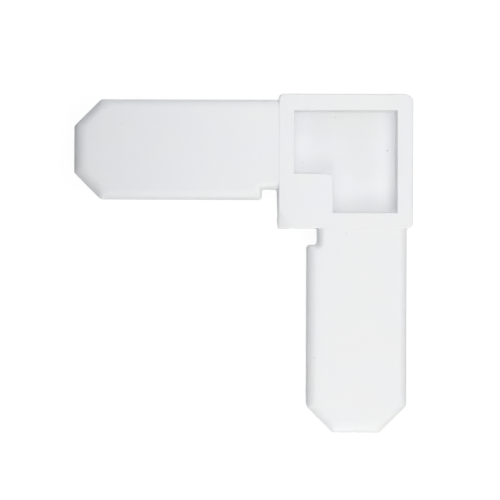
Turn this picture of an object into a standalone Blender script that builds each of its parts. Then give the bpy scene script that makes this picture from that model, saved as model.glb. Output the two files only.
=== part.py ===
"""Moulded plastic corner for a window insect-screen frame.

A square corner block carries two flat arms at right angles, all but flush with its near face. Each arm
slides into the hollow side of a roll-formed aluminium screen frame, whose square-cut end then butts
against the block. The block is cored from the near side, which leaves a square rim and an island over the
inner corner. The island is the back of a groove in the far side, where the screen's spline turns the
corner round a small post. The arms are cored from the far side, so that their walls are about equally
thick.

Metres, +Z up. The origin is the middle of the block's far face, on which the corner rests. One arm runs
along -X and the other along -Y. The two halves mirror each other across the plane x = y.
"""

import math

import bmesh
import bpy
from mathutils import Matrix, Vector

MM = 0.001

# Frame profile that the corner joins
FRAME_WIDTH = 19.05 * MM
FRAME_DEPTH = 7.94 * MM
TUBE_OUTER_GAP = 0.80 * MM
TUBE_NEAR_GAP = 0.05 * MM
TUBE_FAR_GAP = 1.20 * MM
SPLINE_STRIP = 4.11 * MM
SPLINE_LIP = 1.5 * MM

# Walls of the moulding
WALL = 2.22 * MM
DRAFT_DEG = 1.0
FLOOR_RADIUS = 0.3 * MM

# Corner block
OUTER_CORNER_RADIUS = 1.15 * MM
SIDE_CORNER_RADIUS = 0.75 * MM
INNER_CORNER_RADIUS = 0.25 * MM
INNER_CORNER_ROLL = 1.7 * MM
BLOCK_EDGE_RADIUS = 0.25 * MM
ISLAND_CORNER_RADIUS = 0.7 * MM
RECESS_DEPTH = 3.40 * MM

# Groove in the far side of the block, where the spline turns the corner
GROOVE_CLEARANCE = 0.13 * MM
GROOVE_CORNER_RADIUS = 0.5 * MM
POST_RADIUS = 0.4 * MM

# Arms
ARM_LENGTH = 28.95 * MM
ARM_NEAR_RADIUS = 1.5 * MM
ARM_FAR_RADIUS = 1.0 * MM
TIP_CHAMFER = 3.85 * MM
TIP_CORNER_RADIUS = 1.0 * MM
NOTCH_LENGTH = 2.31 * MM
NOTCH_DEPTH = 1.5 * MM
NOTCH_INNER_RADIUS = 0.35 * MM
NOTCH_OUTER_RADIUS = 0.55 * MM

# Cells that core the arms from the far side
CELL_COUNT = 3
CELL_LAND = 0.8 * MM
RIB_THICKNESS = 1.6 * MM
RIB_SETBACK = 0.5 * MM

# Modelling values
ARC_STEPS = 6
CUT_MARGIN = 1.0 * MM
WELD = 0.0001 * MM
CREASE_DEG = 35.0

# Places that follow from the sizes above
HALF = FRAME_WIDTH / 2
ARM_WIDTH = FRAME_WIDTH - TUBE_OUTER_GAP - SPLINE_STRIP
ARM_FAR_Z = TUBE_FAR_GAP
ARM_NEAR_Z = FRAME_DEPTH - TUBE_NEAR_GAP
ARM_CEILING_Z = ARM_NEAR_Z - WALL
GROOVE_REACH = SPLINE_STRIP + NOTCH_DEPTH - GROOVE_CLEARANCE
ISLAND_SIDE = GROOVE_REACH + WALL
DRAFT = math.tan(math.radians(DRAFT_DEG))

PLASTIC_COLOUR = (0.86, 0.86, 0.875, 1.0)
PLASTIC_ROUGHNESS = 0.42


def clear_scene():
    for obj in list(bpy.data.objects):
        bpy.data.objects.remove(obj, do_unlink=True)


def new_collection(name):
    collection = bpy.data.collections.new(name)
    bpy.context.scene.collection.children.link(collection)
    return collection


def white_plastic():
    material = bpy.data.materials.new("white_plastic")
    material.use_nodes = True
    shader = material.node_tree.nodes["Principled BSDF"]
    shader.inputs["Base Color"].default_value = PLASTIC_COLOUR
    shader.inputs["Roughness"].default_value = PLASTIC_ROUGHNESS
    shader.inputs["Metallic"].default_value = 0.0
    return material


def rounded_outline(corners, inset):
    """Points of a closed outline, moved inwards by inset.

    corners holds (x, y, radius) counter-clockwise. As the outline moves in, an outward corner tightens
    until it is sharp and an inward one widens, and a corner never takes more than its edges have.
    """
    spots = [Vector((x, y)) for x, y, _ in corners]
    count = len(spots)
    ways = [(spots[(i + 1) % count] - spots[i]).normalized() for i in range(count)]
    inward = [Vector((-way.y, way.x)) for way in ways]

    mitres, turns, reaches = [], [], []
    for i, (_, _, radius) in enumerate(corners):
        before, after = inward[i - 1], inward[i]
        mitres.append(spots[i] + inset * (before + after) / (1 + before.dot(after)))
        turns.append(math.atan2(ways[i - 1].cross(ways[i]), ways[i - 1].dot(ways[i])))
        grown = max(radius - inset, 0.0) if turns[i] > 0 else radius + inset
        reaches.append(grown * math.tan(abs(turns[i]) / 2))

    shares = []
    for i in range(count):
        after = (i + 1) % count
        needed = reaches[i] + reaches[after]
        edge = (mitres[after] - mitres[i]).length
        shares.append(min(1.0, edge / needed) if needed > 0 else 1.0)

    points = []
    for i in range(count):
        reach = reaches[i] * min(shares[i - 1], shares[i])
        start = mitres[i] - ways[i - 1] * reach
        radius = reach / math.tan(abs(turns[i]) / 2)
        centre = start + inward[i - 1] * math.copysign(radius, turns[i])
        for step in range(ARC_STEPS + 1):
            swing = Matrix.Rotation(turns[i] * step / ARC_STEPS, 2)
            points.append(centre + swing @ (start - centre))
    return points


def rounded_levels(low, high, low_radius, high_radius):
    """(height, inset) pairs, bottom to top, that round off both rims of a prism."""
    quarter = [math.pi / 2 * step / ARC_STEPS for step in range(ARC_STEPS + 1)]
    lower = [
        (low + low_radius * (1 - math.sin(t)), low_radius * (1 - math.cos(t)))
        for t in reversed(quarter)
    ]
    upper = [
        (high - high_radius * (1 - math.sin(t)), high_radius * (1 - math.cos(t)))
        for t in quarter
    ]
    return lower + upper


def loft(name, levels, collection):
    """A closed solid through outlines of equally many points: levels holds (height, points), bottom to top."""
    mesh = bpy.data.meshes.new(name)
    shape = bmesh.new()
    rings = [[shape.verts.new((p.x, p.y, z)) for p in points] for z, points in levels]
    for lower, upper in zip(rings, rings[1:]):
        for i in range(len(lower)):
            shape.faces.new((lower[i - 1], lower[i], upper[i], upper[i - 1]))
    shape.faces.new(list(reversed(rings[0])))
    shape.faces.new(rings[-1])
    bmesh.ops.remove_doubles(shape, verts=shape.verts, dist=WELD)
    shape.to_mesh(mesh)
    shape.free()
    mesh.shade_smooth()
    obj = bpy.data.objects.new(name, mesh)
    collection.objects.link(obj)
    return obj


def box(name, low, high, collection):
    """An upright box between two opposite corners."""
    mesh = bpy.data.meshes.new(name)
    shape = bmesh.new()
    bmesh.ops.create_cube(shape, size=1.0)
    size = Vector(high) - Vector(low)
    middle = (Vector(high) + Vector(low)) / 2
    shape.transform(Matrix.Translation(middle) @ Matrix.Diagonal((*size, 1.0)))
    shape.to_mesh(mesh)
    shape.free()
    obj = bpy.data.objects.new(name, mesh)
    collection.objects.link(obj)
    return obj


def mark_as_helper(obj):
    obj.hide_render = True
    obj.display_type = "WIRE"


def mirror_across_diagonal(obj, diagonal):
    """The second arm is the first one mirrored, so whatever belongs to an arm is made once."""
    mirror = obj.modifiers.new("other_arm", "MIRROR")
    mirror.mirror_object = diagonal
    mirror.use_mirror_merge = False


def boolean(obj, other, operation):
    step = obj.modifiers.new(other.name, "BOOLEAN")
    step.operation = operation
    step.object = other


def crease_by_angle(obj):
    """Shades the rounded edges smooth and keeps the cut edges crisp."""
    tree = bpy.data.node_groups.new("crease_by_angle", "GeometryNodeTree")
    tree.interface.new_socket("Geometry", in_out="INPUT", socket_type="NodeSocketGeometry")
    tree.interface.new_socket("Geometry", in_out="OUTPUT", socket_type="NodeSocketGeometry")
    group_input = tree.nodes.new("NodeGroupInput")
    group_output = tree.nodes.new("NodeGroupOutput")
    angle = tree.nodes.new("GeometryNodeInputMeshEdgeAngle")
    gentle = tree.nodes.new("FunctionNodeCompare")
    gentle.data_type = "FLOAT"
    gentle.operation = "LESS_EQUAL"
    gentle.inputs["B"].default_value = math.radians(CREASE_DEG)
    shade_faces = tree.nodes.new("GeometryNodeSetShadeSmooth")
    shade_faces.domain = "FACE"
    shade_edges = tree.nodes.new("GeometryNodeSetShadeSmooth")
    shade_edges.domain = "EDGE"
    tree.links.new(angle.outputs["Unsigned Angle"], gentle.inputs["A"])
    tree.links.new(group_input.outputs["Geometry"], shade_faces.inputs["Geometry"])
    tree.links.new(shade_faces.outputs["Geometry"], shade_edges.inputs["Geometry"])
    tree.links.new(gentle.outputs["Result"], shade_edges.inputs["Shade Smooth"])
    tree.links.new(shade_edges.outputs["Geometry"], group_output.inputs["Geometry"])
    obj.modifiers.new("crease_by_angle", "NODES").node_group = tree


def block_corners(inset):
    """Corner block seen from above. Its inner corner is rolled off more and more towards the face."""
    roll = INNER_CORNER_ROLL * inset / BLOCK_EDGE_RADIUS
    return [
        (-HALF, -HALF, INNER_CORNER_RADIUS + roll),
        (HALF, -HALF, SIDE_CORNER_RADIUS),
        (HALF, HALF, OUTER_CORNER_RADIUS),
        (-HALF, HALF, SIDE_CORNER_RADIUS),
    ]


def make_block(collection):
    """Square block, as wide and as deep as the frame that it finishes."""
    pairs = rounded_levels(0.0, FRAME_DEPTH, BLOCK_EDGE_RADIUS, BLOCK_EDGE_RADIUS)
    levels = []
    for height, inset in pairs:
        roll_inset = inset if height > FRAME_DEPTH / 2 else 0.0
        levels.append((height, rounded_outline(block_corners(roll_inset), inset)))
    return loft("screen_frame_corner", levels, collection)


def arm_corners(root):
    """Arm along -X seen from above, from root (measured outwards from the block's face) to its tip."""
    outer = HALF - TUBE_OUTER_GAP
    inner = outer - ARM_WIDTH
    tip = -HALF - ARM_LENGTH
    shoulder = tip + TIP_CHAMFER
    notch = -HALF - NOTCH_LENGTH
    return [
        (-HALF - root, outer, 0.0),
        (shoulder, outer, TIP_CORNER_RADIUS),
        (tip, outer - TIP_CHAMFER, TIP_CORNER_RADIUS),
        (tip, inner + TIP_CHAMFER, TIP_CORNER_RADIUS),
        (shoulder, inner, TIP_CORNER_RADIUS),
        (notch, inner, NOTCH_OUTER_RADIUS),
        (notch, inner + NOTCH_DEPTH, NOTCH_INNER_RADIUS),
        (-HALF - root, inner + NOTCH_DEPTH, 0.0),
    ]


def make_arms(diagonal, collection):
    """Both arms, with roots that reach past the block's wall so that the moulding is one solid."""
    root = -(ARM_NEAR_RADIUS + WALL)
    pairs = rounded_levels(ARM_FAR_Z, ARM_NEAR_Z, ARM_FAR_RADIUS, ARM_NEAR_RADIUS)
    levels = [(height, rounded_outline(arm_corners(root), inset)) for height, inset in pairs]
    arms = loft("arms", levels, collection)
    mirror_across_diagonal(arms, diagonal)
    mark_as_helper(arms)
    return arms


def drafted_levels(floor, mouth):
    """(height, inset) pairs of a cored pocket between its floor and its mouth, whichever is higher."""
    way = math.copysign(1.0, mouth - floor)
    taper = abs(mouth - floor) * DRAFT
    return [
        (floor, taper + FLOOR_RADIUS),
        (floor + way * FLOOR_RADIUS, taper),
        (mouth, 0.0),
        (mouth + way * CUT_MARGIN, 0.0),
    ]


def make_recess(collection):
    """L-shaped recess in the near face: a square inside the rim, less the island over the groove."""
    edge = HALF - WALL
    island = ISLAND_SIDE - HALF
    corners = [
        (island, -edge, 0.0),
        (edge, -edge, 0.0),
        (edge, edge, 0.0),
        (-edge, edge, 0.0),
        (-edge, island, 0.0),
        (island, island, ISLAND_CORNER_RADIUS),
    ]
    pairs = drafted_levels(FRAME_DEPTH - RECESS_DEPTH, FRAME_DEPTH)
    levels = [(height, rounded_outline(corners, inset)) for height, inset in pairs]
    recess = loft("recess_cutter", levels, collection)
    mark_as_helper(recess)
    return recess


def make_groove(collection):
    """Groove that joins those of the two frames, round a post that carries on their lips."""
    outside = -HALF - NOTCH_LENGTH / 2
    post = SPLINE_LIP - HALF
    reach = GROOVE_REACH - HALF
    corners = [
        (post, outside, 0.0),
        (reach, outside, 0.0),
        (reach, reach, GROOVE_CORNER_RADIUS),
        (outside, reach, 0.0),
        (outside, post, 0.0),
        (post, post, POST_RADIUS),
    ]
    pairs = reversed(drafted_levels(FRAME_DEPTH - WALL, 0.0))
    levels = [(height, rounded_outline(corners, inset)) for height, inset in pairs]
    groove = loft("groove_cutter", levels, collection)
    mark_as_helper(groove)
    return groove


def make_cells(diagonal, collection):
    """Cells in the far side of the arms: one core inside the arm's walls, divided by cross ribs."""
    corners = arm_corners(CELL_LAND - WALL)
    pairs = reversed(drafted_levels(ARM_CEILING_Z, ARM_FAR_Z))
    levels = [(height, rounded_outline(corners, WALL + inset)) for height, inset in pairs]
    cells = loft("cell_cutter", levels, collection)

    start = -HALF - CELL_LAND
    core_length = ARM_LENGTH - WALL - CELL_LAND
    pitch = (core_length + RIB_THICKNESS) / CELL_COUNT
    for number in range(1, CELL_COUNT):
        near_side = start - number * pitch + RIB_THICKNESS
        low = (near_side - RIB_THICKNESS, -HALF, ARM_FAR_Z + RIB_SETBACK)
        high = (near_side, HALF, FRAME_DEPTH)
        rib = box(f"rib_{number}", low, high, collection)
        mark_as_helper(rib)
        boolean(cells, rib, "DIFFERENCE")

    mirror_across_diagonal(cells, diagonal)
    mark_as_helper(cells)
    return cells


def make_corner():
    clear_scene()
    parts = new_collection("screen_frame_corner")
    cutters = new_collection("cutters")

    diagonal = bpy.data.objects.new("diagonal", None)
    diagonal.rotation_euler.z = math.radians(-45)
    cutters.objects.link(diagonal)

    corner = make_block(parts)
    corner.data.materials.append(white_plastic())
    boolean(corner, make_arms(diagonal, cutters), "UNION")
    boolean(corner, make_recess(cutters), "DIFFERENCE")
    boolean(corner, make_groove(cutters), "DIFFERENCE")
    boolean(corner, make_cells(diagonal, cutters), "DIFFERENCE")
    crease_by_angle(corner)


make_corner()
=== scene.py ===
"""Looks of a moulded plastic corner for a window insect-screen frame, seen from straight above."""

import math

import bmesh
import bpy
from mathutils import Matrix, Vector


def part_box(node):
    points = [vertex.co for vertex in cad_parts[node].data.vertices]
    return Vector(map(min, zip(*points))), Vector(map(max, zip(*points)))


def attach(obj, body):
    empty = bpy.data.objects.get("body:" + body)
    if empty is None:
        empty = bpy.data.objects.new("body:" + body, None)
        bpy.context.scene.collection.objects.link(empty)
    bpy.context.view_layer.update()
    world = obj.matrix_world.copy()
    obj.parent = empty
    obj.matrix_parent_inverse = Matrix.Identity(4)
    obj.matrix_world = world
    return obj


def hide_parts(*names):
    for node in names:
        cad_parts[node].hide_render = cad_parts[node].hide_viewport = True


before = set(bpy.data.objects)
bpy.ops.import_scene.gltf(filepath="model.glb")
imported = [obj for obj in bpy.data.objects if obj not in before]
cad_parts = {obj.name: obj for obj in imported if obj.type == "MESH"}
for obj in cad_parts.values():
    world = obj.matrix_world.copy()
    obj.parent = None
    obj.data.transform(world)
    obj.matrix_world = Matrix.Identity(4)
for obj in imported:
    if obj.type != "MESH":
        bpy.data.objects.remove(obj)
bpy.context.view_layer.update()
scene = bpy.context.scene
MM = 0.001

# White plastic
# The corner is one shot of white polypropylene, filled to stay stiff. Its skin has the fine grain of a
# spark-eroded mould, faint clouds where the filler settled and a few specks of dirt. Painted shade turns the
# white cooler towards the tip of the left arm, and a faint patch of painted shade darkens the recess floor.
white_plastic = bpy.data.materials.new("white_plastic")
white_plastic.use_nodes = True
nodes, link = white_plastic.node_tree.nodes, white_plastic.node_tree.links.new
skin = nodes["Principled BSDF"]
skin.inputs["IOR"].default_value = 1.49
skin.inputs["Subsurface Weight"].default_value = 0.12
skin.inputs["Subsurface Scale"].default_value = 0.6 * MM
skin.inputs["Subsurface Radius"].default_value = (1.0, 0.95, 0.9)
place = nodes.new("ShaderNodeTexCoord")


def cloud(scale, detail, warp=0.0):
    """Noise on the piece's own coordinates, with about one cloud per scale."""
    noise = nodes.new("ShaderNodeTexNoise")
    noise.inputs["Scale"].default_value = 1.0 / scale
    noise.inputs["Detail"].default_value = detail
    noise.inputs["Distortion"].default_value = warp
    link(place.outputs["Object"], noise.inputs["Vector"])
    return noise.outputs["Fac"]


def spread(value, low, high, out_low=0.0, out_high=1.0):
    """The part of a value between low and high, spread over a new range."""
    stretch = nodes.new("ShaderNodeMapRange")
    stretch.inputs["From Min"].default_value = low
    stretch.inputs["From Max"].default_value = high
    stretch.inputs["To Min"].default_value = out_low
    stretch.inputs["To Max"].default_value = out_high
    link(value, stretch.inputs["Value"])
    return stretch.outputs["Result"]


def tinted(share, first, second):
    """A colour that goes from the first to the second with the share."""
    mix = nodes.new("ShaderNodeMix")
    mix.data_type = "RGBA"
    link(share, mix.inputs["Factor"])
    for socket, colour in ((mix.inputs["A"], first), (mix.inputs["B"], second)):
        if isinstance(colour, tuple):
            socket.default_value = (*colour, 1.0)
        else:
            link(colour, socket)
    return mix.outputs["Result"]


def reckoned(nodes, link, operation, first, second):
    """One sum of a material or of the light, from two values that are each a number or a socket."""
    math_node = nodes.new("ShaderNodeMath")
    math_node.operation = operation
    for socket, value in zip(math_node.inputs, (first, second)):
        if isinstance(value, float):
            socket.default_value = value
        else:
            link(value, socket)
    return math_node.outputs["Value"]


cool_white = (0.857, 0.864, 0.892)
warm_white = (0.866, 0.868, 0.873)
filler_cloud = 7 * MM
filler_contrast = (0.35, 0.65)
# Where and how strongly the white is painted cooler towards the left arm's tip, as painted shade.
shade_tint_from, shade_tint_to = -6 * MM, -24 * MM
arm_shade_tint = 0.45
gloss_cloud = 0.9 * MM
gloss_contrast = (0.3, 0.7)
most_gloss, least_gloss = 0.36, 0.50
sink_cloud, sink_depth = 9 * MM, 0.02 * MM
grain_size, grain_depth = 0.22 * MM, 0.006 * MM
# The colour of the specks of dirt and of the patch of painted shade.
dirt_and_shade_colour = (0.30, 0.29, 0.28)
speck_core, speck_rim = 0.5, 1.1
# x, y, z and radius in millimetres, and how dark. The last is a wide faint patch of painted shade on the
# left of the recess floor.
specks_and_shade_patch = [
    (6.10, 1.65, 4.54, 0.11, 0.75),
    (-1.38, 6.33, 4.54, 0.09, 0.5),
    (-5.99, -0.03, 4.54, 0.11, 0.3),
    (0.16, -10.14, 7.89, 0.1, 0.3),
    (-30.26, 7.92, 7.72, 0.11, 0.35),
    (-31.62, 5.16, 7.89, 0.09, 0.3),
    (-33.93, 7.47, 7.86, 0.1, 0.3),
    (-4.32, -27.83, 7.84, 0.1, 0.45),
    (-4.83, -14.51, 7.58, 0.08, 0.3),
    (-5.8, 3.4, 3.04, 4.2, 0.05),
]
dirt_and_shade = 0.0
for x, y, z, radius, strength in specks_and_shade_patch:
    apart = nodes.new("ShaderNodeVectorMath")
    apart.operation = "DISTANCE"
    apart.inputs[1].default_value = (x * MM, y * MM, z * MM)
    link(place.outputs["Object"], apart.inputs[0])
    edge_from, edge_to = speck_core * radius * MM, speck_rim * radius * MM
    spot = spread(apart.outputs["Value"], edge_from, edge_to, strength, 0.0)
    dirt_and_shade = reckoned(nodes, link, "MAXIMUM", dirt_and_shade, spot)

along = nodes.new("ShaderNodeSeparateXYZ")
link(place.outputs["Object"], along.inputs["Vector"])
clouds = spread(cloud(filler_cloud, detail=3.0, warp=0.4), *filler_contrast)
# Painted shade: the white turns cooler towards the tip of the left arm.
painted_cool_shade = spread(along.outputs["X"], shade_tint_to, shade_tint_from, -arm_shade_tint, 0.0)
clouded = tinted(reckoned(nodes, link, "ADD", clouds, painted_cool_shade), cool_white, warm_white)
# The specks of dirt and the patch of painted shade darken the base colour.
link(tinted(dirt_and_shade, clouded, dirt_and_shade_colour), skin.inputs["Base Color"])
gloss = spread(cloud(gloss_cloud, detail=4.0), *gloss_contrast, most_gloss, least_gloss)
link(gloss, skin.inputs["Roughness"])

sink = nodes.new("ShaderNodeBump")
sink.inputs["Strength"].default_value = 1.0
sink.inputs["Distance"].default_value = sink_depth
link(cloud(sink_cloud, detail=1.0), sink.inputs["Height"])
grain = nodes.new("ShaderNodeBump")
grain.inputs["Strength"].default_value = 1.0
grain.inputs["Distance"].default_value = grain_depth
link(cloud(grain_size, detail=2.0), grain.inputs["Height"])
link(sink.outputs["Normal"], grain.inputs["Normal"])
link(grain.outputs["Normal"], skin.inputs["Normal"])

# The outline of the moulding
# White plastic shot into a two-part mould: a square block with two flat arms at right angles. The mould's
# cavities are milled, so every outline is straight runs joined by arcs, and its rims are rounded in height.
low_corner, high_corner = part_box("screen_frame_corner")
block_half = high_corner.x
block_top = high_corner.z
arm_tip = low_corner.x
arc_steps = 12
least_turn = 1e-6
flatness = 0.002 * MM
weld_gap = 0.0002 * MM


def milled_outline(corners, inset):
    """Points of a closed outline of (x, y, radius) corners, counter-clockwise, moved inwards by inset."""
    spots = [Vector((x, y)) for x, y, _ in corners]
    count = len(spots)
    ways = [(spots[(i + 1) % count] - spots[i]).normalized() for i in range(count)]
    inward = [Vector((-way.y, way.x)) for way in ways]
    mitres, turns, reaches = [], [], []
    for i, (_, _, radius) in enumerate(corners):
        before, after = inward[i - 1], inward[i]
        mitres.append(spots[i] + inset * (before + after) / (1 + before.dot(after)))
        turns.append(math.atan2(ways[i - 1].cross(ways[i]), ways[i - 1].dot(ways[i])))
        grown = max(radius - inset, 0.0) if turns[i] > 0 else radius + inset
        reaches.append(grown * math.tan(abs(turns[i]) / 2))
    shares = []
    for i in range(count):
        after = (i + 1) % count
        needed = reaches[i] + reaches[after]
        edge = (mitres[after] - mitres[i]).length
        shares.append(min(1.0, edge / needed) if needed > 0 else 1.0)
    points = []
    for i in range(count):
        if abs(turns[i]) < least_turn:
            points += [mitres[i]] * (arc_steps + 1)
            continue
        reach = reaches[i] * min(shares[i - 1], shares[i])
        start = mitres[i] - ways[i - 1] * reach
        radius = reach / math.tan(abs(turns[i]) / 2)
        centre = start + inward[i - 1] * math.copysign(radius, turns[i])
        for step in range(arc_steps + 1):
            swing = Matrix.Rotation(turns[i] * step / arc_steps, 2)
            points.append(centre + swing @ (start - centre))
    return points


def twisted(face):
    """Whether a four-sided face is so far from flat that the cuts below could lose a piece of it."""
    first, second, third, fourth = (vert.co for vert in face.verts)
    upright = (second - first).cross(third - first).normalized()
    return abs((fourth - first).dot(upright)) > flatness


def lofted(name, levels):
    """A closed solid through (height, points) outlines of equally many points, from the bottom up."""
    mesh = bpy.data.meshes.new(name)
    shape = bmesh.new()
    rings = [[shape.verts.new((p.x, p.y, z)) for p in points] for z, points in levels]
    for lower, upper in zip(rings, rings[1:]):
        for i in range(len(lower)):
            shape.faces.new((lower[i - 1], lower[i], upper[i], upper[i - 1]))
    shape.faces.new(list(reversed(rings[0])))
    shape.faces.new(rings[-1])
    bmesh.ops.remove_doubles(shape, verts=shape.verts, dist=weld_gap)
    uneven = [face for face in shape.faces if len(face.verts) == 4 and twisted(face)]
    bmesh.ops.triangulate(shape, faces=uneven)
    shape.to_mesh(mesh)
    shape.free()
    mesh.materials.append(white_plastic)
    obj = bpy.data.objects.new(name, mesh)
    scene.collection.objects.link(obj)
    return obj


def rounded_rims(low, high, low_radius, high_radius):
    """(height, inset) pairs, from the bottom up, of a wall with a quarter round at either rim."""
    quarter = [math.pi / 2 * step / arc_steps for step in range(arc_steps + 1)]
    fall = [(1 - math.sin(t), 1 - math.cos(t)) for t in quarter]
    lower = [(low + low_radius * down, low_radius * inwards) for down, inwards in reversed(fall)]
    upper = [(high - high_radius * down, high_radius * inwards) for down, inwards in fall]
    return lower + upper


# Corner block
# The square that shows at the corner of a finished screen, as wide and as deep as the frame. Its inner
# corner is rolled off towards the face, as mouldings are where the plastic shrinks over a thick spot, and
# its side flares a little below the root of the left arm.
block_edge_radius = 0.25 * MM
outer_corner_radius = 1.15 * MM
side_corner_radius = 0.75 * MM
inner_corner_radius = 0.25 * MM
inner_corner_roll = 3.3 * MM
roll_stretch = 1.2
roll_depth = 0.5 * MM
roll_foot = block_top - roll_depth
# y along the left side, and how far the side stands out there
root_flare = [(-3.9 * MM, 0.27 * MM), (-6.1 * MM, 0.21 * MM), (-8.3 * MM, 0.11 * MM), (-9.1 * MM, 0.0)]
flare_lead = 1.0 * MM
flare_depth = 2.5 * MM
flare_top = root_flare[0][0]
flare_start = flare_top + flare_lead
flare_foot = block_top - flare_depth
# Above the roll's foot the corners of the flare lie closer together, which leaves the roll its room.
gathered = 0.25
block_levels = []
block_rims = rounded_rims(0.0, block_top, block_edge_radius, block_edge_radius)
block_rims[arc_steps + 1 : arc_steps + 1] = [(flare_foot, 0.0), (roll_foot, 0.0)]
for height, inset in block_rims:
    rolled = max(height - roll_foot, 0.0) / roll_depth
    flared = 1.0 if height <= flare_foot else 0.0
    reach = 1.0 if height <= roll_foot else gathered
    block_corners = [
        (-block_half, -block_half, inner_corner_radius + inner_corner_roll * rolled),
        (block_half, -block_half, side_corner_radius),
        (block_half, block_half, outer_corner_radius),
        (-block_half, block_half, side_corner_radius),
        (-block_half, flare_start, 0.0),
    ]
    for y, amount in root_flare:
        block_corners.append((-block_half - amount * flared, flare_top + (y - flare_top) * reach, 0.0))
    outline = milled_outline(block_corners, inset)
    # The rolled corner reaches further across than down.
    side = -block_half + inset
    for point in outline[: arc_steps + 1]:
        point.x = side + (point.x - side) * (1 + (roll_stretch - 1) * rolled)
    block_levels.append((height, outline))
block = lofted("moulded_corner", block_levels)

# Arms
# Flat tongues that slide into the hollow of the frame, all but flush with the block's face. Their tips are
# chamfered as a lead-in, and a notch at the root clears the run-out of the spline groove.
wall = 2.22 * MM
outer_shoulder = 0.8 * MM
inner_shoulder = 4.11 * MM
arm_outer = block_half - outer_shoulder
arm_inner = inner_shoulder - block_half
tip_chamfer = 3.81 * MM
inner_tip_chamfer = 3.68 * MM
tip_corner_radius = 0.8 * MM
notch_length = 2.31 * MM
notch_depth = 1.5 * MM
notch_inner_radius = 0.35 * MM
notch_outer_radius = 0.55 * MM
arm_near_radius = 1.15 * MM
arm_far_radius = 1.0 * MM
inner_edge_roll = 0.35 * MM
notch_edge_roll = -0.1 * MM
tip_roll = 0.7 * MM
tip_corner_blend = 2.0
near_step = 0.05 * MM
arm_near = block_top - near_step
arm_far = 1.2 * MM


def arm_corners(root, rolled=0.0, blend=0.0):
    """The arm along -X, from root to its tip. Where rolled, its inner edge and tip are drawn in further."""
    inner = arm_inner + inner_edge_roll * rolled
    tip = arm_tip + tip_roll * rolled
    drawn_in = tip_roll * rolled / 2
    notch = -block_half - notch_length
    notch_edge = arm_inner + notch_depth + notch_edge_roll * rolled
    corner_radius = tip_corner_radius + blend
    return [
        (root, arm_outer, 0.0),
        (arm_tip + tip_chamfer + drawn_in, arm_outer, corner_radius),
        (tip, arm_outer - tip_chamfer + drawn_in, corner_radius),
        (tip, inner + inner_tip_chamfer - drawn_in, corner_radius),
        (arm_tip + inner_tip_chamfer + drawn_in, inner, corner_radius),
        (notch, inner, notch_outer_radius),
        (notch, notch_edge, notch_inner_radius),
        (root, notch_edge, 0.0),
    ]


arm_root = -block_half + arm_near_radius + wall
arm_levels = []
for height, inset in rounded_rims(arm_far, arm_near, arm_far_radius, arm_near_radius):
    rolled = inset / arm_near_radius if height > arm_far + arm_far_radius else 0.0
    corners = arm_corners(arm_root, rolled, inset * (1 + tip_corner_blend * rolled))
    arm_levels.append((height, milled_outline(corners, inset)))
arm = lofted("arm", arm_levels)

# Cores
# The moving parts of the mould that keep the walls even: one leaves the L-shaped recess round the island,
# one the spline groove with its post on the far side, and one per arm the cells between the cross ribs.
draft = math.tan(math.radians(1.0))
floor_radius = 0.3 * MM
floor_steps = 6
core_margin = 1.0 * MM


def core_levels(floor, mouth, floor_radius=floor_radius):
    """(height, inset) pairs of a core that tapers to its floor, starting at the floor."""
    way = math.copysign(1.0, mouth - floor)
    taper = abs(mouth - floor) * draft
    quarter = [math.pi / 2 * step / floor_steps for step in range(floor_steps + 1)]
    rounding = [
        (floor + way * floor_radius * (1 - math.sin(t)), taper + floor_radius * (1 - math.cos(t)))
        for t in reversed(quarter)
    ]
    return rounding + [(mouth, 0.0), (mouth + way * core_margin, -core_margin * draft)]


groove_shoulder = 0.13 * MM
groove_reach = arm_inner + notch_depth - groove_shoulder
groove_depth = block_top - wall
groove_corner_radius = 0.5 * MM
post_width = 1.5 * MM
post = post_width - block_half
post_radius = 0.4 * MM
run_out = -block_half - notch_length / 2
island = groove_reach + wall
island_corner_radius = 0.9 * MM
recess_depth = 3.4 * MM
recess_floor = block_top - recess_depth
recess_floor_radius = 0.12 * MM
recess_edge = block_half - wall
top_wall_extra = 0.1 * MM
recess_top_edge = recess_edge - top_wall_extra
worn_corner_radius = 1.0 * MM
worn_below = 0.6 * MM
worn_top = block_top - worn_below
recess_levels = []
recess_insets = core_levels(recess_floor, block_top, recess_floor_radius)
recess_insets.insert(-2, (worn_top, (block_top - worn_top) * draft))
for height, inset in recess_insets:
    worn = min(max((worn_top - height) / (worn_top - recess_floor), 0.0), 1.0)
    recess_corners = [
        (island, -recess_edge, 0.0),
        (recess_edge, -recess_edge, worn_corner_radius * worn),
        (recess_edge, recess_top_edge, 0.0),
        (-recess_edge, recess_top_edge, 0.0),
        (-recess_edge, island, 0.0),
        (island, island, island_corner_radius),
    ]
    recess_levels.append((height, milled_outline(recess_corners, inset)))
recess_core = lofted("recess_core", recess_levels)
groove_corners = [
    (post, run_out, 0.0),
    (groove_reach, run_out, 0.0),
    (groove_reach, groove_reach, groove_corner_radius),
    (run_out, groove_reach, 0.0),
    (run_out, post, 0.0),
    (post, post, post_radius),
]
groove_levels = []
for height, inset in reversed(core_levels(groove_depth, 0.0)):
    groove_levels.append((height, milled_outline(groove_corners, inset)))
groove_core = lofted("groove_core", groove_levels)
cell_land = 0.8 * MM
cell_corners = arm_corners(-block_half - cell_land + wall)
cell_levels = []
for height, inset in reversed(core_levels(arm_near - wall, arm_far)):
    cell_levels.append((height, milled_outline(cell_corners, wall + inset)))
cell_core = lofted("cell_core", cell_levels)

rib_thickness = 1.6 * MM
rib_setback = 0.5 * MM
cell_count = 3
core_length = -block_half - cell_land - (arm_tip + wall)
cell_pitch = (core_length + rib_thickness) / cell_count


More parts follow.
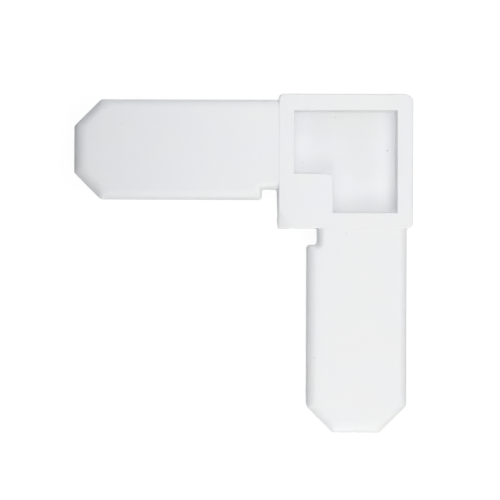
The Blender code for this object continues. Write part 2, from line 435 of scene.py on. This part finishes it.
def plastic_tree(name, inputs):
    """A geometry tree with named inputs, whose last two nodes make the result real and of plastic."""
    tree = bpy.data.node_groups.new(name, "GeometryNodeTree")
    for label, kind in inputs + [("Plastic", "NodeSocketMaterial")]:
        tree.interface.new_socket(label, in_out="INPUT", socket_type=kind)
    tree.interface.new_socket("Geometry", in_out="OUTPUT", socket_type="NodeSocketGeometry")
    given = tree.nodes.new("NodeGroupInput")
    real = tree.nodes.new("GeometryNodeRealizeInstances")
    dressed = tree.nodes.new("GeometryNodeSetMaterial")
    result = tree.nodes.new("NodeGroupOutput")
    tree.links.new(real.outputs["Geometry"], dressed.inputs["Geometry"])
    tree.links.new(given.outputs["Plastic"], dressed.inputs["Material"])
    tree.links.new(dressed.outputs["Geometry"], result.inputs["Geometry"])
    return tree, given, real


def use_tree(obj, tree, values):
    """Puts the tree on the object as a modifier, with its named inputs set."""
    modifier = obj.modifiers.new(tree.name, "NODES")
    modifier.node_group = tree
    for item in tree.interface.items_tree:
        if item.item_type == "SOCKET" and item.in_out == "INPUT" and item.name in values:
            modifier[item.identifier] = values[item.name]


def add_ribs(obj):
    """Takes the cross ribs out of the core: a row of plates, one pitch apart."""
    tree, given, last = plastic_tree(
        "cross_ribs",
        [
            ("Geometry", "NodeSocketGeometry"),
            ("Rib count", "NodeSocketInt"),
            ("Rib size", "NodeSocketVector"),
            ("First rib", "NodeSocketVector"),
            ("Pitch", "NodeSocketVector"),
        ],
    )
    row = tree.nodes.new("GeometryNodeMeshLine")
    row.mode = "OFFSET"
    plate = tree.nodes.new("GeometryNodeMeshCube")
    place = tree.nodes.new("GeometryNodeInstanceOnPoints")
    plates = tree.nodes.new("GeometryNodeRealizeInstances")
    cut = tree.nodes.new("GeometryNodeMeshBoolean")
    cut.operation = "DIFFERENCE"
    cut.solver = "EXACT"
    link = tree.links.new
    link(given.outputs["Rib count"], row.inputs["Count"])
    link(given.outputs["First rib"], row.inputs["Start Location"])
    link(given.outputs["Pitch"], row.inputs["Offset"])
    link(given.outputs["Rib size"], plate.inputs["Size"])
    link(row.outputs["Mesh"], place.inputs["Points"])
    link(plate.outputs["Mesh"], place.inputs["Instance"])
    link(place.outputs["Instances"], plates.inputs["Geometry"])
    link(given.outputs["Geometry"], cut.inputs["Mesh 1"])
    link(plates.outputs["Geometry"], cut.inputs["Mesh 2"])
    link(cut.outputs["Mesh"], last.inputs["Geometry"])
    rib_height = block_top - arm_far - rib_setback
    use_tree(
        obj,
        tree,
        {
            "Plastic": white_plastic,
            "Rib count": cell_count - 1,
            "Rib size": (rib_thickness, 2 * block_half, rib_height),
            "First rib": (
                -block_half - cell_land - cell_pitch + rib_thickness / 2,
                0.0,
                arm_far + rib_setback + rib_height / 2,
            ),
            "Pitch": (-cell_pitch, 0.0, 0.0),
        },
    )


add_ribs(cell_core)


def settle(obj):
    """The plain mesh that an object's modifiers make."""
    mesh = bpy.data.meshes.new_from_object(obj.evaluated_get(bpy.context.evaluated_depsgraph_get()))
    obj.modifiers.clear()
    obj.data = mesh
    return obj


def add_mirrored_half(obj):
    """Both arms are alike, so the second one is the first mirrored across the line x = y."""
    shape = bmesh.new()
    shape.from_mesh(obj.data)
    copied = bmesh.ops.duplicate(shape, geom=shape.verts[:] + shape.edges[:] + shape.faces[:])["geom"]
    verts = [item for item in copied if isinstance(item, bmesh.types.BMVert)]
    faces = [item for item in copied if isinstance(item, bmesh.types.BMFace)]
    for vert in verts:
        vert.co.x, vert.co.y = vert.co.y, vert.co.x
    bmesh.ops.reverse_faces(shape, faces=faces)
    shape.to_mesh(obj.data)
    shape.free()


settle(cell_core)
for half_made in (arm, cell_core):
    add_mirrored_half(half_made)


def join_and_cut(obj, added, cores):
    """The shot: block and arms are one body, less the cores."""
    tree, given, last = plastic_tree(
        "shot",
        [("Geometry", "NodeSocketGeometry"), ("Arms", "NodeSocketObject")]
        + [(f"Core {number}", "NodeSocketObject") for number in range(len(cores))],
    )
    link = tree.links.new
    union = tree.nodes.new("GeometryNodeMeshBoolean")
    union.operation = "UNION"
    union.solver = "EXACT"
    arms = tree.nodes.new("GeometryNodeObjectInfo")
    link(given.outputs["Arms"], arms.inputs["Object"])
    link(given.outputs["Geometry"], union.inputs["Mesh 2"])
    link(arms.outputs["Geometry"], union.inputs["Mesh 2"])
    body = union
    values = {"Arms": added, "Plastic": white_plastic}
    for number, core in enumerate(cores):
        core_info = tree.nodes.new("GeometryNodeObjectInfo")
        cut = tree.nodes.new("GeometryNodeMeshBoolean")
        cut.operation = "DIFFERENCE"
        cut.solver = "EXACT"
        link(given.outputs[f"Core {number}"], core_info.inputs["Object"])
        link(body.outputs["Mesh"], cut.inputs["Mesh 1"])
        link(core_info.outputs["Geometry"], cut.inputs["Mesh 2"])
        values[f"Core {number}"] = core
        body = cut
    link(body.outputs["Mesh"], last.inputs["Geometry"])
    use_tree(obj, tree, values)


cores = [recess_core, groove_core, cell_core]
join_and_cut(block, arm, cores)
corner = settle(block)
for core in [arm] + cores:
    bpy.data.objects.remove(core)

# Edges
# No edge of a moulding is quite sharp. The mouth of the recess is rounded by the polishing of the mould,
# and the other outward edges are just broken, where the mould's milled cavities meet.
mouth_radius = 0.08 * MM
mouth_angle = 60
edge_break = 0.1 * MM
edge_angle = 35
edge_segments = 3
crease_angle = 40
near_by = 0.01 * MM
sliver = 0.0005 * MM


def on_mouth(edge):
    """Whether an edge lies on the rim of the recess."""
    middle = (edge.verts[0].co + edge.verts[1].co) / 2
    return middle.z > block_top - near_by and max(abs(middle.x), abs(middle.y)) < recess_edge + near_by


def round_over(shape, edges, radius):
    """Rounds the edges in place."""
    bmesh.ops.bevel(
        shape,
        geom=edges,
        offset=radius,
        offset_type="OFFSET",
        segments=edge_segments,
        profile=0.5,
        affect="EDGES",
        clamp_overlap=False,
    )


def outward_edges(shape, least_degrees):
    """The edges that stick out at more than an angle."""
    return [
        edge
        for edge in shape.edges
        if edge.is_manifold and edge.is_convex and edge.calc_face_angle() > math.radians(least_degrees)
    ]


shape = bmesh.new()
shape.from_mesh(corner.data)
bmesh.ops.remove_doubles(shape, verts=shape.verts, dist=sliver)
bmesh.ops.dissolve_degenerate(shape, edges=shape.edges, dist=sliver)
mouth = [edge for edge in outward_edges(shape, mouth_angle) if on_mouth(edge)]
round_over(shape, mouth, mouth_radius)
rest = [edge for edge in outward_edges(shape, edge_angle) if not on_mouth(edge)]
round_over(shape, rest, edge_break)
shape.to_mesh(corner.data)
shape.free()
corner.data.shade_smooth()
corner.data.set_sharp_from_angle(angle=math.radians(crease_angle))
weighted = corner.modifiers.new("weighted", "WEIGHTED_NORMAL")
weighted.keep_sharp = True
weighted.weight = 100
settle(corner)

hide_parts("screen_frame_corner")
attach(corner, "root")

# Floor
# A sheet of white paper, a hair below the part. It throws its light back on the part as paper does, and the
# lens sees it burnt out to white, as in a catalogue picture, with only a breath of the part's shadow left.
floor_half = 1.5
floor_gap = 0.05 * MM
paper_white = (0.80, 0.80, 0.80)
paper_glare = 0.93
paper_shade = (0.12, 0.12, 0.12)
floor_mesh = bpy.data.meshes.new("floor")
shape = bmesh.new()
bmesh.ops.create_grid(
    shape, x_segments=1, y_segments=1, size=floor_half, matrix=Matrix.Translation((0.0, 0.0, -floor_gap))
)
shape.to_mesh(floor_mesh)
shape.free()
floor = bpy.data.objects.new("floor", floor_mesh)
scene.collection.objects.link(floor)
paper = bpy.data.materials.new("paper")
paper.use_nodes = True
nodes, link = paper.node_tree.nodes, paper.node_tree.links.new
nodes.remove(nodes["Principled BSDF"])


def seen_by_lens(nodes, link):
    """One for rays from the lens, straight or by way of a gloss or a clear piece, and none for the rest."""
    path = nodes.new("ShaderNodeLightPath")
    seen = path.outputs["Is Camera Ray"]
    for ray in ("Is Glossy Ray", "Is Transmission Ray"):
        seen = reckoned(nodes, link, "MAXIMUM", seen, path.outputs[ray])
    return seen


plain_paper = nodes.new("ShaderNodeBsdfDiffuse")
plain_paper.inputs["Color"].default_value = (*paper_white, 1.0)
burnt_out = nodes.new("ShaderNodeEmission")
burnt_out.inputs["Strength"].default_value = paper_glare
shaded = nodes.new("ShaderNodeBsdfDiffuse")
shaded.inputs["Color"].default_value = (*paper_shade, 1.0)
bright_paper = nodes.new("ShaderNodeAddShader")
link(burnt_out.outputs["Emission"], bright_paper.inputs[0])
link(shaded.outputs["BSDF"], bright_paper.inputs[1])
either_paper = nodes.new("ShaderNodeMixShader")
link(seen_by_lens(nodes, link), either_paper.inputs["Fac"])
link(plain_paper.outputs["BSDF"], either_paper.inputs[1])
link(bright_paper.outputs["Shader"], either_paper.inputs[2])
link(either_paper.outputs["Shader"], nodes["Material Output"].inputs["Surface"])
floor_mesh.materials.append(paper)

# Studio light
# Small soft boxes hang close over the corner and stand low before and behind it. The room is dark but for
# pale glows high on the left, behind, and low on the right. Nothing shines level from the left, so the edges
# on that side go dark.
room = bpy.data.worlds.new("studio")
scene.world = room
room.use_nodes = True
nodes, link = room.node_tree.nodes, room.node_tree.links.new
way = nodes.new("ShaderNodeTexCoord")
# elevation and azimuth in degrees, strength, tightness, colour
glows = [
    (62, 180, 0.62, 8.0, (0.955, 0.993, 1.052)),
    (38, 90, 0.21, 10.0, (0.993, 0.995, 1.012)),
    (8, 0, 2.75, 16.0, (0.999, 1.013, 0.988)),
]
soft_light = None
for elevation, azimuth, strength, tightness, colour in glows:
    up, round_about = math.radians(elevation), math.radians(azimuth)
    facing = nodes.new("ShaderNodeVectorMath")
    facing.operation = "DOT_PRODUCT"
    facing.inputs[1].default_value = (
        math.cos(up) * math.cos(round_about),
        math.cos(up) * math.sin(round_about),
        math.sin(up),
    )
    link(way.outputs["Generated"], facing.inputs[0])
    ahead = reckoned(nodes, link, "MAXIMUM", facing.outputs["Value"], 0.0)
    falling = reckoned(nodes, link, "POWER", ahead, tightness)
    glow = nodes.new("ShaderNodeBackground")
    glow.inputs["Color"].default_value = (*colour, 1.0)
    link(reckoned(nodes, link, "MULTIPLY", falling, strength), glow.inputs["Strength"])
    if soft_light is None:
        soft_light = glow.outputs["Background"]
    else:
        both = nodes.new("ShaderNodeAddShader")
        link(soft_light, both.inputs[0])
        link(glow.outputs["Background"], both.inputs[1])
        soft_light = both.outputs["Shader"]
backdrop = nodes["Background"]
backdrop.inputs["Color"].default_value = (1.0, 1.0, 1.0, 1.0)
either_light = nodes.new("ShaderNodeMixShader")
link(seen_by_lens(nodes, link), either_light.inputs["Fac"])
link(soft_light, either_light.inputs[1])
link(backdrop.outputs["Background"], either_light.inputs[2])
link(either_light.outputs["Shader"], nodes["World Output"].inputs["Surface"])

aim = Vector((-0.01, -0.01, 0.0))
warm = (1.02, 1.01, 0.97)
plain = (1.0, 1.0, 1.0)
cool = (0.97, 0.985, 1.045)
# name, place, diameter, power, colour
lamps = [
    ("overhead_lamp_right", (0.04, -0.02, 0.12), 0.072, 0.0342, warm),
    ("overhead_lamp", (0.0, 0.02, 0.12), 0.072, 0.0153, plain),
    ("overhead_lamp_front", (0.0, -0.10, 0.12), 0.072, 0.0354, warm),
    ("overhead_lamp_back", (0.04, 0.06, 0.12), 0.072, 0.0099, plain),
    ("close_lamp_front", (-0.02, -0.05, 0.08), 0.048, 0.0066, plain),
    ("close_lamp_back", (-0.02, 0.01, 0.08), 0.048, 0.0035, cool),
    ("back_lamp", (0.0, 0.06, 0.06), 0.036, 0.0078, warm),
    ("low_lamp_front", (-0.0135, -0.13, 0.035), 0.06, 0.0365, warm),
    ("low_lamp_back", (-0.0135, 0.10, 0.035), 0.06, 0.0135, cool),
]
for name, spot, across, power, colour in lamps:
    lamp = bpy.data.lights.new(name, "AREA")
    lamp.shape = "DISK"
    lamp.size = across
    lamp.energy = power
    lamp.color = colour
    lamp_object = bpy.data.objects.new(name, lamp)
    scene.collection.objects.link(lamp_object)
    lamp_object.location = spot
    lamp_object.rotation_euler = (aim - lamp_object.location).to_track_quat("-Z", "Y").to_euler()
    lamp_object.visible_camera = False

# Camera
# Looks straight down from about 0.3 m over the open angle between the arms, and is turned a trifle, which
# the outlines in the photo show.
photo_size = 500
pixels_per_mm = 7.075
camera_x, camera_y, camera_height = -13.5 * MM, -12.61 * MM, 0.298
camera_turn = 0.183
sensor_width = 36.0
camera = bpy.data.cameras.new("camera")
camera.sensor_width = sensor_width
camera.lens = sensor_width * (camera_height - block_top) / (photo_size / pixels_per_mm * MM)
camera_object = bpy.data.objects.new("camera", camera)
scene.collection.objects.link(camera_object)
camera_object.location = (camera_x, camera_y, camera_height)
camera_object.rotation_euler.z = math.radians(camera_turn)
scene.camera = camera_object

scene.view_settings.view_transform = "Standard"
